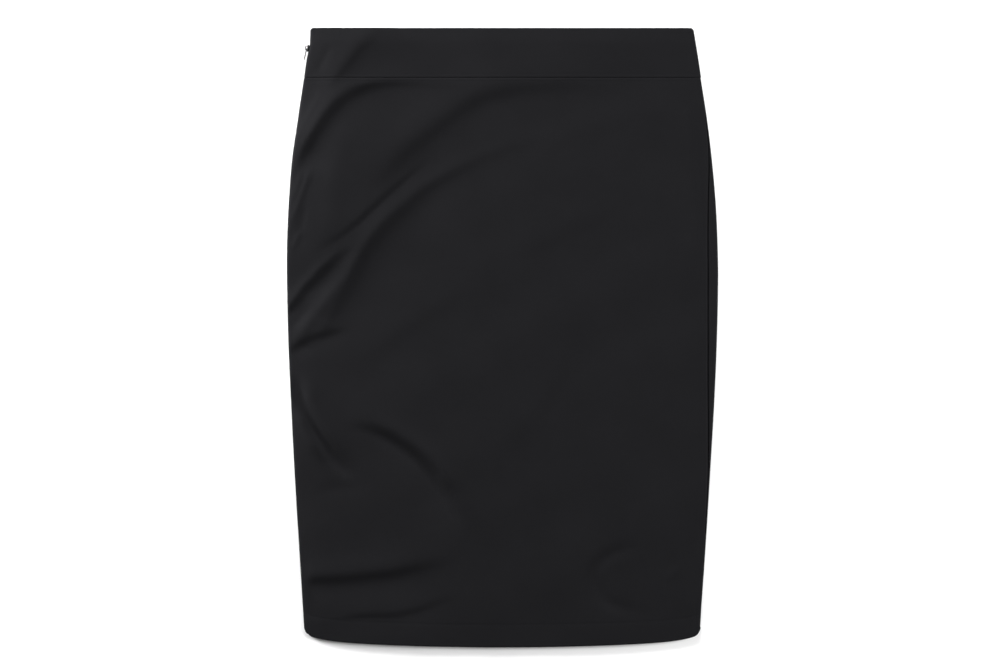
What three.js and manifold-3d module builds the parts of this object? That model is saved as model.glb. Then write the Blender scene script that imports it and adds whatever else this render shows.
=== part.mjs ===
// A knee-length pencil skirt in black stretch suiting, laid flat on a table with its front up.
// Two panels meet in side seams. A straight waistband is seamed on above them, the lower edges are
// turned up as a hem, and a concealed zip closes the wearer's right side, from the waist to the hip.
// Millimetres. +X runs across the skirt, +Y from the hem to the waist, +Z up out of the table.
// The origin is on the table, under the middle of the skirt's outline.
import * as THREE from "three";
import { mergeVertices } from "three/addons/utils/BufferGeometryUtils.js";
import Module from "manifold-3d";

const wasm = await Module();
wasm.setup();

// ---------- driving dimensions ----------

const LENGTH = 619.6; // lowest point of the hem to the waist edge
const WAIST_Y = LENGTH / 2;
const HEM_Y = -LENGTH / 2;
const BAND_DEPTH = 50; // finished depth of the waistband
const BAND_SEAM_Y = WAIST_Y - BAND_DEPTH;
const HEM_DEPTH = 25; // cloth turned up inside the lower edge

const CLOTH = 1.0; // wall of a single layer
const DOUBLED = 1.6; // wall of the folded waistband and of the turned-up hem
const SEAM_GAP = 0.3; // between two pieces at a seam
const ZIP_GAP = 1.2; // between the two edges that the slider's neck runs through

const EDGE = 3.8; // thickness of the whole skirt at a side edge
const LOFT = 1.4; // how much higher the front lies in its middle
const TURN = 2.6; // width, from above, of the roll that the cloth makes round a side edge
const QUARTER = 4.0; // length of cloth from the middle of a side edge to the top of its roll
const LEAST_GAP = 0.4; // between the front and the back inside

// The outline from above, one row per height: how far out the left and the right edge lie.
const OUTLINE = [
  { y: -310, left: -197.6, right: 197.4 },
  { y: -290, left: -198.7, right: 198.3 },
  { y: -222, left: -202.9, right: 202.5 },
  { y: -142, left: -207.8, right: 207.3 },
  { y: -62, left: -211.9, right: 212.0 },
  { y: -2, left: -214.5, right: 214.5 },
  { y: 58, left: -215.8, right: 215.8 },
  { y: 98, left: -215.6, right: 215.1 },
  { y: 138, left: -213.8, right: 213.1 },
  { y: 178, left: -210.7, right: 209.5 },
  { y: 218, left: -205.0, right: 204.8 },
  { y: 258, left: -199.1, right: 199.1 },
  { y: 278, left: -196.0, right: 196.2 },
  { y: 294, left: -193.0, right: 193.6 },
  { y: 310, left: -192.5, right: 191.0 },
];

// The right side seam, one row per height: the length of cloth from the middle of the edge's roll to
// the seam, on the front, where the back panel's fuller hip comes round.
const RIGHT_SEAM = [
  { y: -290, arc: 0 },
  { y: -210, arc: 1.4 },
  { y: -150, arc: 3.0 },
  { y: -112, arc: 4.8 },
  { y: -42, arc: 8.9 },
  { y: 18, arc: 11.0 },
  { y: 58, arc: 11.7 },
  { y: 98, arc: 11.1 },
  { y: 138, arc: 8.6 },
  { y: 178, arc: 4.4 },
  { y: 212, arc: 2.2 },
  { y: 262, arc: 0 },
];

// The hem rises from its lowest point, in the middle, to the side seams.
const HEM_SAG = 7; // by a parabola
const HEM_TAIL = 5.8; // and steeper close to the side seams
const HEM_CORNER = 7; // radius of the corner itself
const WAIST_CORNER = 3; // radius of the corners of the waistband
const HEM_FADE = 90; // height above the hem where the rows of cloth run straight again

// The largest folds of the front, one row each. Walking along the path from its first point, the
// cloth is high on the left and low on the right: it drops by twice the rise within twice the reach.
// fadeIn and fadeOut are the shares of the path where the fold grows and dies out.
const FOLDS = [
  {
    name: "hip sweep",
    rise: 2.1, reach: 9, fadeIn: 0.15, fadeOut: 0.45,
    path: [[-214, 140], [-200, 184], [-183, 214], [-158, 238], [-110, 251], [-60, 254]],
  },
  {
    name: "band roll",
    rise: 1.2, reach: 12, fadeIn: 0.3, fadeOut: 0.4,
    path: [[-172, 252], [-158, 265], [-138, 280], [-104, 294], [-60, 300]],
  },
  {
    name: "upper drape",
    rise: 1.7, reach: 14, fadeIn: 0.3, fadeOut: 0.4,
    path: [[-132, 158], [-100, 187], [-58, 216], [-19, 240], [25, 250], [85, 250]],
  },
  {
    name: "middle crease",
    rise: 0.9, reach: 6, fadeIn: 0.3, fadeOut: 0.4,
    path: [[-190, 80], [-151, 108], [-120, 138], [-96, 160], [-64, 184]],
  },
  {
    name: "long drape",
    rise: 2.3, reach: 12, fadeIn: 0.2, fadeOut: 0.45,
    path: [[-182, 10], [-158, 46], [-128, 97], [-92, 132], [-39, 168], [30, 198]],
  },
  {
    name: "hip pinch",
    rise: 2.2, reach: 8, fadeIn: 0.1, fadeOut: 0.5,
    path: [[-226, 20], [-200, 45], [-184, 63], [-150, 92]],
  },
  {
    name: "pinch corner",
    rise: 1.4, reach: 8, fadeIn: 0.1, fadeOut: 0.5,
    path: [[-226, -24], [-200, -6], [-170, 5], [-125, 9]],
  },
  {
    name: "thigh roll, outer side",
    rise: 1.5, reach: 9, fadeIn: 0.3, fadeOut: 0.3,
    path: [[-212, -28], [-202, -58], [-186, -90], [-165, -118], [-140, -140]],
  },
  {
    name: "thigh roll, inner side",
    rise: 1.4, reach: 9, fadeIn: 0.3, fadeOut: 0.35,
    path: [[-42, -180], [-56, -146], [-80, -116], [-112, -98], [-140, -86]],
  },
  {
    name: "knee fold",
    rise: 1.9, reach: 10, fadeIn: 0.2, fadeOut: 0.35,
    path: [[-205, -243], [-165, -242], [-120, -238], [-80, -230], [-40, -222]],
  },
  {
    name: "hem fold",
    rise: 1.1, reach: 9, fadeIn: 0.3, fadeOut: 0.4,
    path: [[-192, -288], [-135, -277], [-80, -271], [-36, -259], [0, -246]],
  },
];

// The concealed zip, in the left side edge.
const ZIP_RISE = 2.6; // how much thicker its tapes and coil make that edge
const ZIP_END_Y = 105; // the lower end of its teeth
const TAPE = { bottom: 90, top: 304, near: 5.0, far: 15.5, wall: 1.0, steps: 18 };
const COIL = { near: 2.4, far: 4.6, half: 0.9, steps: 16 };
const ZIP_FLAT = 18; // width of the edge that stays at the zip's full thickness
const ZIP_FALL = 44; // width over which the front then falls back
const ZIP_FADE = { low: 45, high: 85 }; // heights between which the edge thickens upwards

// Its slider, in its own frame: +X into the cloth, +Y up along the edge, the neck at the origin.
const SLIDER = {
  y: 289.2, length: 7, innerNear: 2.4, innerFar: 4.6, innerHalf: 1.2, neckHalf: 0.3,
  plateOut: 1.6, plateIn: 0.7, plateHalf: 1.7, archOut: 4.0, archHalf: 0.5, archLength: 4.8,
  window: { near: 1.6, far: 3.1, half: 1.6 },
};
const PULL = {
  pivot: { x: -2.35, y: -0.75 }, tilt: 12, length: 11.4, thick: 0.8, eyeWide: 3.0,
  slotWide: 1.6, slotLength: 3.8, eyeLength: 4.7, endWide: 3.8, end: 9.0,
};

// ---------- small helpers ----------

const ramp = (low, high, value) => THREE.MathUtils.smoothstep(value, low, high);
const mix = THREE.MathUtils.lerp;

// The value of one column of a table at height y, on a smooth curve through the rows.
function column(table, key, y) {
  const last = table.length - 1;
  if (y <= table[0].y) return table[0][key];
  if (y >= table[last].y) return table[last][key];
  const i = table.findIndex((row) => row.y > y) - 1;
  const slope = (a, b) => (table[b][key] - table[a][key]) / (table[b].y - table[a].y);
  const step = table[i + 1].y - table[i].y;
  const t = (y - table[i].y) / step;
  const start = slope(Math.max(i - 1, 0), i + 1) * step;
  const end = slope(i, Math.min(i + 2, last)) * step;
  const [a, b] = [table[i][key], table[i + 1][key]];
  return (
    a * (2 * t ** 3 - 3 * t ** 2 + 1) + start * (t ** 3 - 2 * t ** 2 + t) +
    b * (3 * t ** 2 - 2 * t ** 3) + end * (t ** 3 - t ** 2)
  );
}

const leftEdge = (y) => column(OUTLINE, "left", y);
const rightEdge = (y) => column(OUTLINE, "right", y);

// ---------- the cloth's upper surface ----------

for (const fold of FOLDS) {
  const curve = new THREE.SplineCurve(fold.path.map(([x, y]) => new THREE.Vector2(x, y)));
  fold.line = curve.getPoints(8 * fold.path.length);
}

// What one fold adds to the height at (x, y): a ridge on the left of its path, a trough on the right.
function foldHeight(fold, x, y) {
  const here = new THREE.Vector2(x, y);
  let best = { gap: Infinity };
  for (let i = 1; i < fold.line.length; i++) {
    const along = fold.line[i].clone().sub(fold.line[i - 1]);
    const from = here.clone().sub(fold.line[i - 1]);
    const t = THREE.MathUtils.clamp(from.dot(along) / along.lengthSq(), 0, 1);
    const gap = from.clone().addScaledVector(along, -t).length();
    if (gap < best.gap) {
      best = { gap, share: (i - 1 + t) / (fold.line.length - 1), side: Math.sign(from.cross(along)) };
    }
  }
  const strength = ramp(0, fold.fadeIn, best.share) * (1 - ramp(1 - fold.fadeOut, 1, best.share));
  const across = (best.side * best.gap) / fold.reach;
  return -fold.rise * strength * across * Math.exp(0.5 - 0.5 * across ** 2);
}

// 1 over the zip's tapes, falling to 0 beside and below them.
function zipShare(x, y) {
  const inset = x - leftEdge(y);
  return (1 - ramp(ZIP_FLAT, ZIP_FLAT + ZIP_FALL, inset)) * ramp(ZIP_FADE.low, ZIP_FADE.high, y);
}

// Height of the front's outer surface above the table.
function topHeight(x, y) {
  const share = (2 * x - rightEdge(y) - leftEdge(y)) / (rightEdge(y) - leftEdge(y));
  const zip = zipShare(x, y);
  const hemTop = HEM_Y + HEM_DEPTH;
  const body = ramp(hemTop, hemTop + 12, y) * (1 - ramp(BAND_SEAM_Y - 12, BAND_SEAM_Y, y));
  const least = mix(mix(2 * DOUBLED, 2 * CLOTH, body) + LEAST_GAP, EDGE + ZIP_RISE - 0.1, zip);
  let height = EDGE + ZIP_RISE * zip + LOFT * (1 - share ** 4);
  for (const fold of FOLDS) height += foldHeight(fold, x, y);
  const soft = 0.5; // rounding of the height where the front comes to lie on the back
  return least + soft * Math.log1p(Math.exp((height - least) / soft));
}

// ---------- the skirt as a flattened tube ----------

const edgeThickness = (side, y) =>
  side < 0 ? EDGE + ZIP_RISE * ramp(ZIP_FADE.low, ZIP_FADE.high, y) : EDGE;

// How far the hem's edge lies above its lowest point; share is 0 in the middle and 1 at a side.
function hemRise(share, half) {
  const corner = Math.max(HEM_CORNER - (1 - share) * half, 0);
  return (
    HEM_SAG * share ** 2 + HEM_TAIL * share ** 12 +
    HEM_CORNER - Math.sqrt(HEM_CORNER ** 2 - corner ** 2)
  );
}

function waistDip(share, half) {
  const corner = Math.max(WAIST_CORNER - (1 - share) * half, 0);
  return WAIST_CORNER - Math.sqrt(WAIST_CORNER ** 2 - corner ** 2);
}

// The (x, z) of the cloth on a level row: arc is the length of cloth from the middle of a side edge,
// positive over the top and negative underneath, and depth is how far inside the outer surface.
function section(side, arc, y, depth) {
  const edge = side < 0 ? leftEdge(y) : rightEdge(y);
  const middle = edgeThickness(side, y) / 2;
  const bend = (Math.min(Math.abs(arc) / QUARTER, 1) * Math.PI) / 2;
  const flat = Math.max(Math.abs(arc) - QUARTER, 0);
  const x = edge - side * (TURN - (TURN - depth) * Math.cos(bend) + flat);
  const reach = arc > 0 ? topHeight(x, y) - middle : middle;
  return { x, z: middle + Math.sign(arc) * (reach - depth) * Math.sin(bend) };
}

// The same point with the row bent to the hem's and the waist's curve.
function onCloth({ side, arc }, row, depth) {
  const half = (rightEdge(row) - leftEdge(row)) / 2;
  const share = Math.min(Math.abs(section(side, arc, row, 0).x) / half, 1);
  const y =
    row + hemRise(share, half) * (1 - ramp(HEM_Y, HEM_Y + HEM_FADE, row)) -
    waistDip(share, half) * ramp(WAIST_Y - 12, WAIST_Y, row);
  const { x, z } = section(side, arc, y, depth);
  return new THREE.Vector3(x, y, z);
}

const seamArc = (y) => Math.max(column(RIGHT_SEAM, "arc", y), 0);

// ---------- meshes ----------

// A closed wall between two grids of points, outer[i][j] and inner[i][j], i across and j upwards.
function wall(outer, inner) {
  const [m, n] = [outer.length, outer[0].length];
  const positions = [outer, inner].flat(2).flatMap((p) => [p.x, p.y, p.z]);
  const at = (layer, i, j) => layer * m * n + i * n + j;
  const index = [];
  const quad = (a, b, c, d) => index.push(a, b, c, a, c, d);
  for (let i = 0; i < m - 1; i++) {
    for (let j = 0; j < n - 1; j++) {
      quad(at(0, i, j), at(0, i + 1, j), at(0, i + 1, j + 1), at(0, i, j + 1));
      quad(at(1, i, j), at(1, i, j + 1), at(1, i + 1, j + 1), at(1, i + 1, j));
    }
  }
  for (let i = 0; i < m - 1; i++) {
    quad(at(1, i, 0), at(1, i + 1, 0), at(0, i + 1, 0), at(0, i, 0));
    quad(at(0, i, n - 1), at(0, i + 1, n - 1), at(1, i + 1, n - 1), at(1, i, n - 1));
  }
  for (let j = 0; j < n - 1; j++) {
    quad(at(0, 0, j), at(0, 0, j + 1), at(1, 0, j + 1), at(1, 0, j));
    quad(at(1, m - 1, j), at(1, m - 1, j + 1), at(0, m - 1, j + 1), at(0, m - 1, j));
  }
  const geometry = new THREE.BufferGeometry();
  geometry.setAttribute("position", new THREE.Float32BufferAttribute(positions, 3));
  geometry.setIndex(index);
  return geometry;
}

// A cloth wall: stations(row) lists where a level row crosses it, from its left end round to its
// right end as seen from outside, rows are the heights, and thickness(row) is its wall there.
function clothWall(stations, rows, thickness) {
  const columns = rows.map((row) => stations(row));
  const grid = (depth) =>
    columns[0].map((_, i) => rows.map((row, j) => onCloth(columns[j][i], row, depth(row))));
  return wall(grid(() => 0), grid(thickness));
}

const steps = (low, high, count) =>
  Array.from({ length: count + 1 }, (_, k) => mix(low, high, k / count));

// Where the front crosses a row: from the left seam, over the top, to the right seam. Stations lie
// closer together round the edges and on the left, where the folds are.
const RIGHT_ROLL = [0, 1.4, 2.8, 4.2, 11, 22]; // from the right seam
function frontStations(row, leftGap, count, crowding) {
  const start = seamArc(row) + SEAM_GAP / 2;
  const first = start + RIGHT_ROLL.at(-1);
  const last = QUARTER + rightEdge(row) - leftEdge(row) - 2 * TURN;
  const rightRoll = RIGHT_ROLL.map((way) => ({ side: 1, arc: start + way }));
  const middle = steps(0, 1, count).slice(1).map((k) => ({
    side: 1,
    arc: mix(first, last, k * (1 + crowding * (1 - k))),
  }));
  const leftRoll = steps(QUARTER, leftGap / 2, 3).slice(1).map((arc) => ({ side: -1, arc }));
  return [...rightRoll, ...middle, ...leftRoll].reverse();
}

// Where the back crosses a row: from the right seam, round the right edge and under to the left seam.
// Underneath they crowd towards both edges, where the hem curves most.
function backStations(row, leftGap, count) {
  const end = seamArc(row) - SEAM_GAP / 2;
  const rightRoll = steps(end, -QUARTER, 9).map((arc) => ({ side: 1, arc }));
  const width = rightEdge(row) - leftEdge(row) - 2 * TURN;
  const middle = steps(0, Math.PI, count).slice(1, -1).map((turn) => ({
    side: 1,
    arc: -QUARTER - (width * (1 - Math.cos(turn))) / 2,
  }));
  const leftRoll = steps(-QUARTER, -leftGap / 2, 3).map((arc) => ({ side: -1, arc }));
  return [...rightRoll, ...middle, ...leftRoll];
}

// The zip's longer gap runs from the waist to the end of its teeth, the seam's own gap below.
const leftGap = (row) => mix(SEAM_GAP, ZIP_GAP, ramp(ZIP_END_Y - 12, ZIP_END_Y, row));

const panelRows = [
  ...steps(HEM_Y, HEM_Y + HEM_DEPTH - 1.5, 3),
  ...steps(HEM_Y + HEM_DEPTH + 1.5, BAND_SEAM_Y - SEAM_GAP / 2, 28),
];
const bandRows = steps(BAND_SEAM_Y + SEAM_GAP / 2, WAIST_Y, 5);
const panelWall = (row) => (row < HEM_Y + HEM_DEPTH ? DOUBLED : CLOTH);

const frontPanel = clothWall((row) => frontStations(row, leftGap(row), 30, 0.4), panelRows, panelWall);
const backPanel = clothWall((row) => backStations(row, leftGap(row), 12), panelRows, panelWall);
const frontBand = clothWall((row) => frontStations(row, ZIP_GAP, 18, 0.3), bandRows, () => DOUBLED);
const backBand = clothWall((row) => backStations(row, ZIP_GAP, 4), bandRows, () => DOUBLED);

// A straight-sided strip that follows the left edge, between two insets and two heights from the
// middle of that edge.
function edgeStrip({ bottom, top, near, far, low, high, count }) {
  const rows = steps(bottom, top, count);
  const line = (inset, lift) =>
    rows.map((y) => new THREE.Vector3(leftEdge(y) + inset, y, edgeThickness(-1, y) / 2 + lift));
  return wall([line(near, high), line(far, high)], [line(near, low), line(far, low)]);
}

const tape = (low, high) => edgeStrip({ ...TAPE, low, high, count: TAPE.steps });

// The slider stands square to the edge where it sits, and the closed coil ends just below it.
const edgeRun = leftEdge(SLIDER.y + 4) - leftEdge(SLIDER.y - 4);
const lean = Math.atan2(edgeRun, 8);
const sliderBottom = SLIDER.y - (SLIDER.length / 2) * Math.cos(lean) - SLIDER.innerFar * Math.sin(lean);
const coil = edgeStrip({
  bottom: ZIP_END_Y, top: sliderBottom - SEAM_GAP,
  near: COIL.near, far: COIL.far, low: -COIL.half, high: COIL.half, count: COIL.steps,
});

// ---------- the slider and its pull ----------

function toSolid(geometry) {
  const bare = geometry.clone();
  bare.deleteAttribute("normal");
  bare.deleteAttribute("uv");
  const merged = mergeVertices(bare, 1e-4);
  return new wasm.Manifold(new wasm.Mesh({
    numProp: 3,
    vertProperties: merged.attributes.position.array,
    triVerts: new Uint32Array(merged.index.array),
  }));
}

function toGeometry(solid) {
  const mesh = solid.getMesh();
  const geometry = new THREE.BufferGeometry();
  geometry.setAttribute("position", new THREE.Float32BufferAttribute(mesh.vertProperties, 3));
  geometry.setIndex([...mesh.triVerts]);
  return geometry;
}

// A block between two values on each axis.
function block(x, y, z) {
  return new THREE.BoxGeometry(x[1] - x[0], y[1] - y[0], z[1] - z[0]).translate(
    (x[0] + x[1]) / 2, (y[0] + y[1]) / 2, (z[0] + z[1]) / 2,
  );
}

// The bridge that holds the pull: an arch standing out from the plate, with a window through it.
function archGeometry({ plateOut, archOut, archLength, archHalf, window }) {
  const [half, shoulder] = [archLength / 2, archLength / 2 - 1];
  const shape = new THREE.Shape([
    [-plateOut + 0.2, -half], [-plateOut + 0.2, half], [-archOut + 1, half],
    [-archOut, shoulder], [-archOut, -shoulder], [-archOut + 1, -half],
  ].map(([x, y]) => new THREE.Vector2(x, y)));
  shape.holes.push(new THREE.Path([
    [-window.near, -window.half], [-window.far, -window.half],
    [-window.far, window.half], [-window.near, window.half],
  ].map(([x, y]) => new THREE.Vector2(x, y))));
  return new THREE.ExtrudeGeometry(shape, { depth: 2 * archHalf, bevelEnabled: false })
    .translate(0, 0, -archHalf);
}

function sliderGeometry(s) {
  const along = [-s.length / 2, s.length / 2];
  const plate = block([-s.plateOut, -s.plateIn], along, [-s.plateHalf, s.plateHalf]);
  const neckLength = [along[0] + 0.5, along[1] - 0.5];
  const neck = block([-s.plateIn - 0.2, s.innerNear + 0.2], neckLength, [-s.neckHalf, s.neckHalf]);
  const inner = block([s.innerNear, s.innerFar], along, [-s.innerHalf, s.innerHalf]);
  const solids = [plate, neck, inner, archGeometry(s)].map(toSolid);
  return toGeometry(solids.reduce((whole, piece) => whole.add(piece)));
}

// The pull: a thin plate that widens to a round end, with a slot at its top. The bar that closes
// the slot runs through the slider's arch, and the pull swings on it.
function pullGeometry(p) {
  const bar = p.thick / 2;
  const outline = new THREE.Shape();
  outline.moveTo(-p.eyeWide / 2, bar);
  outline.lineTo(-p.eyeWide / 2, -p.eyeLength);
  outline.lineTo(-p.endWide / 2, -p.end);
  outline.absarc(0, -p.length + p.endWide / 2, p.endWide / 2, Math.PI, 2 * Math.PI, false);
  outline.lineTo(p.eyeWide / 2, -p.eyeLength);
  outline.lineTo(p.eyeWide / 2, bar);
  const slot = new THREE.Path([
    [-p.slotWide / 2, -bar], [-p.slotWide / 2, -p.slotLength],
    [p.slotWide / 2, -p.slotLength], [p.slotWide / 2, -bar],
  ].map(([x, y]) => new THREE.Vector2(x, y)));
  outline.holes.push(slot);
  const plate = new THREE.ExtrudeGeometry(outline, { depth: p.thick, bevelEnabled: false, curveSegments: 8 });
  return plate.translate(0, 0, -bar).rotateY(Math.PI / 2);
}

// ---------- assembly ----------

const suiting = { color: 0x232326, roughness: 0.9, metalness: 0 };
const tapeCloth = { color: 0x1c1c1e, roughness: 0.85, metalness: 0 };
const blackMetal = { color: 0x17171a, roughness: 0.4, metalness: 0.6 };

const skirt = new THREE.Group();

function addPiece(parent, name, geometry, look) {
  const mesh = new THREE.Mesh(geometry, new THREE.MeshStandardMaterial(look));
  mesh.name = name;
  parent.add(mesh);
  return mesh;
}

addPiece(skirt, "front_panel", frontPanel, suiting);
addPiece(skirt, "back_panel", backPanel, suiting);
addPiece(skirt, "waistband_front", frontBand, suiting);
addPiece(skirt, "waistband_back", backBand, suiting);
addPiece(skirt, "zip_tape_front", tape(SEAM_GAP / 2, SEAM_GAP / 2 + TAPE.wall), tapeCloth);
addPiece(skirt, "zip_tape_back", tape(-SEAM_GAP / 2 - TAPE.wall, -SEAM_GAP / 2), tapeCloth);
addPiece(skirt, "zip_coil", coil, tapeCloth);

const zipTop = new THREE.Group();
zipTop.position.set(leftEdge(SLIDER.y), SLIDER.y, edgeThickness(-1, SLIDER.y) / 2);
zipTop.rotation.z = -lean;
skirt.add(zipTop);
addPiece(zipTop, "zip_slider", sliderGeometry(SLIDER), blackMetal);
const pull = addPiece(zipTop, "zip_pull", pullGeometry(PULL), blackMetal);
pull.position.set(PULL.pivot.x, PULL.pivot.y, 0);
pull.rotation.z = lean - THREE.MathUtils.degToRad(PULL.tilt);

export default skirt;
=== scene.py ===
import bmesh
import bpy
import numpy as np
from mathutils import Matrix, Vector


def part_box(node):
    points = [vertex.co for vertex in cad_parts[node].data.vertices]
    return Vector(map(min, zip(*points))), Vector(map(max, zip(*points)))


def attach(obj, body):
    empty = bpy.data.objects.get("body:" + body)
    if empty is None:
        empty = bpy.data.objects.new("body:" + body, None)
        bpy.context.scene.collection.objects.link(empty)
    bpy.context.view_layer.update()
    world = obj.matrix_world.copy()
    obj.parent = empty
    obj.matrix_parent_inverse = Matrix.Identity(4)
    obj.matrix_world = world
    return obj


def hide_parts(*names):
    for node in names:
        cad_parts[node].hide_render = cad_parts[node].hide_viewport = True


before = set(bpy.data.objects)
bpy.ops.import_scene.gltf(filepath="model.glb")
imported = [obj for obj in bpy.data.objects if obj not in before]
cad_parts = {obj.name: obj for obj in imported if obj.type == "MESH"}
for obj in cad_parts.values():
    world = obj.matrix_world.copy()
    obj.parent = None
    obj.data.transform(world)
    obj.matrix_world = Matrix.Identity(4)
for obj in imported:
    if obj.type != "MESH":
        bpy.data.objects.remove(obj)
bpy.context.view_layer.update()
MM = 0.001

# ---------------------------------------------------------------------------------------------
# Front panel. One piece of stretch suiting, from the left seam over the top to the right seam,
# with its lower edge turned up inside as a hem. It lies on the back panel and is drawn into
# folds that run from the hip, below the end of the zip, up to the waistband and down to the hem.
# ---------------------------------------------------------------------------------------------

WAIST_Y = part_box("waistband_front")[1].y / MM
HEM_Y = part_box("front_panel")[0].y / MM
BAND_SEAM_Y = (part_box("waistband_front")[0].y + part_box("front_panel")[1].y) / 2 / MM
HIP_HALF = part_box("back_panel")[1].x / MM

CLOTH = 0.72  # one layer
FOLD_SPACE = 0.16  # between the two layers of a pressed fold
FOLD_RADIUS = CLOTH + FOLD_SPACE / 2
HEM_DEPTH = 25
SEAM_GAP = 0.3
EDGE = 3.8  # thickness of the whole skirt at a side edge
LOFT = 1.4  # how much higher the front lies in its middle
DOUBLED = 1.6  # least height that the turned-up hem and the folded waistband add
DOUBLED_FADE = 12  # and the length of skirt over which it goes
TURN = 2.6  # width, from above, of the roll that the cloth makes round a side edge
QUARTER = 4.0  # cloth from the middle of a side edge to the top of its roll
LEAST_GAP = 0.5  # between the front and the back inside
LEAST_SOFT = 0.5  # how softly the front is rounded off where it would come down lower

# How far the side edges lie in from the widest part of the hip: distance below the waist edge,
# left inset, right inset.
EDGE_INSETS = [
    (0, 23.3, 24.8), (16, 22.8, 22.2), (32, 19.8, 19.6), (52, 16.7, 16.7), (92, 10.8, 11.0),
    (132, 5.1, 6.3), (172, 2.0, 2.7), (212, 0.2, 0.7), (252, 0.0, 0.0), (312, 1.3, 1.3),
    (372, 3.9, 3.8), (452, 8.0, 8.5), (532, 12.9, 13.3), (600, 17.1, 17.5), (620, 18.2, 18.4),
]

# The hem rises from its lowest point to the side seams, and the waistband's corners are rounded.
HEM_SAG, HEM_TAIL, HEM_CORNER, HEM_FADE = 7.0, 5.8, 7.0, 90.0
WAIST_CORNER = 3.0
WAIST_DIP_FADE = 12  # length of skirt over which the rows bend to the rounded corners
WAIST_ROLL, WAIST_ROLL_FADE = 1.8, 16  # how much lower the front lies at the waist edge itself
LEFT_EASE, LEFT_EASE_REACH = 1.2, 7  # and at the left edge, which is rolled more softly

# The right side seam: height, length of cloth from the middle of the right edge to the seam.
RIGHT_SEAM = [
    (-290, 0), (-210, 1.4), (-150, 3.0), (-112, 4.8), (-42, 8.9), (18, 11.0), (58, 11.7),
    (98, 11.1), (138, 8.6), (178, 4.4), (212, 2.2), (262, 0),
]

# The concealed zip thickens the upper part of the left edge.
ZIP_RISE, ZIP_FLAT, ZIP_FALL, ZIP_FADE_LOW, ZIP_FADE_HIGH = 2.6, 18.0, 44.0, 45.0, 85.0

# The tapes inside reach this far up from the table along the zip, and this far in from the edge.
TAPE_THICK, TAPE_SPACE, TAPE_CLEAR = 0.5, 0.3, 0.1
TAPE_TOP = (EDGE + ZIP_RISE) / 2 + TAPE_SPACE / 2 + TAPE_THICK
TAPE_COVER, TAPE_COVER_END = 17, 26

# Folds that drop. Walking along the path from its first point, the cloth is high on the left and
# low on the right: rise is how far each side departs, core the half width of the steep part, high
# and low how far the ridge and the trough reach, and fade the share of the path over which the
# fold grows and dies out.
DROPS = [
    # Hip sweep: out of the zip's end, up and along under the waistband.
    dict(rise=2.4, core=4.2, high=9, low=15, fade=(0.15, 0.5),
         path=[(-208, 160), (-199, 182), (-190, 199), (-179, 216), (-167, 231), (-152, 243),
               (-136, 250), (-116, 253), (-90, 253), (-50, 251), (-10, 250)]),
    # Its end across the waistband.
    dict(rise=1.0, core=4, high=16, low=30, fade=(0.25, 0.4),
         path=[(-176, 247), (-163, 262), (-153, 274), (-143, 286), (-130, 298), (-118, 308)]),
    # Upper drape, wide and soft.
    dict(rise=2.6, core=9.5, high=22, low=26, fade=(0.3, 0.4),
         path=[(-134, 142), (-118, 160), (-96, 183), (-62, 211), (-30, 234), (0, 245), (45, 250),
               (95, 250), (130, 248)]),
    # Thin crease above the long drape.
    dict(rise=0.85, core=1.6, high=12, low=4, fade=(0.5, 0.35),
         path=[(-198, 82), (-181, 91), (-164, 101), (-147, 114), (-131, 129), (-115, 144),
               (-98, 159), (-81, 173), (-66, 184)]),
    # Long drape, from the pinch at the hip towards the middle of the waist.
    dict(rise=2.8, core=7.5, high=8, low=34, fade=(0.27, 0.5),
         path=[(-192, -14), (-178, 8), (-165, 30), (-154, 52), (-143, 74), (-130, 95), (-115, 113),
               (-97, 130), (-77, 147), (-43, 167), (-4, 184), (36, 195), (76, 203)]),
    # Hip pinch: a narrow pocket that opens towards the edge.
    dict(rise=2.2, core=4.2, high=5, low=9, fade=(0.15, 0.5),
         path=[(-222, 14), (-213, 28), (-205, 38), (-197, 49), (-189, 57), (-181, 66), (-172, 74),
               (-163, 82), (-150, 90), (-138, 96)]),
    # Lower corner of the pinch.
    dict(rise=1.3, core=3.6, high=8, low=8, fade=(0.15, 0.35),
         path=[(-216, -16), (-205, -8), (-190, 0), (-176, 4), (-164, 7), (-150, 8)]),
    # Far end of the thigh fold, whose valleys are among the ridges.
    dict(rise=1.9, core=5.6, high=16, low=16, fade=(0.33, 0.3),
         path=[(-162, -86), (-146, -89), (-131, -93), (-116, -100), (-102, -109), (-86, -121),
               (-73, -134), (-64, -147), (-55, -163), (-46, -182), (-42, -200)]),
    # Knee folds, above the hem on the left.
    dict(rise=2.1, core=6.4, high=13, low=14, fade=(0.13, 0.45),
         path=[(-200, -244), (-186, -243), (-166, -242), (-135, -239), (-110, -236), (-88, -231),
               (-62, -225), (-30, -214)]),
    dict(rise=0.7, core=2.4, high=12, low=10, fade=(0.3, 0.4),
         path=[(-180, -284), (-150, -279), (-128, -278), (-105, -277), (-85, -272), (-60, -263),
               (-36, -255)]),
    # Broad faint drapes over the middle.
    dict(rise=0.5, core=10, high=26, low=26, fade=(0.3, 0.4),
         path=[(-8, 70), (50, 98), (102, 121), (150, 150)]),
    dict(rise=0.5, core=9, high=24, low=24, fade=(0.3, 0.4),
         path=[(-158, -42), (-115, -8), (-82, 14), (-49, 36), (-10, 48)]),
    dict(rise=0.5, core=11, high=26, low=26, fade=(0.3, 0.4),
         path=[(-34, -160), (26, -90), (50, -52), (72, 0)]),
    dict(rise=0.4, core=9, high=20, low=20, fade=(0.3, 0.4),
         path=[(30, 166), (67, 197), (122, 215), (150, 218)]),
    # Beside the right side seam.
    dict(rise=0.9, core=3.5, high=14, low=8, fade=(0.3, 0.3),
         path=[(200, 70), (199, 88), (198, 118), (196, 148), (193, 178), (190, 217), (188, 236)]),
]

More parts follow.
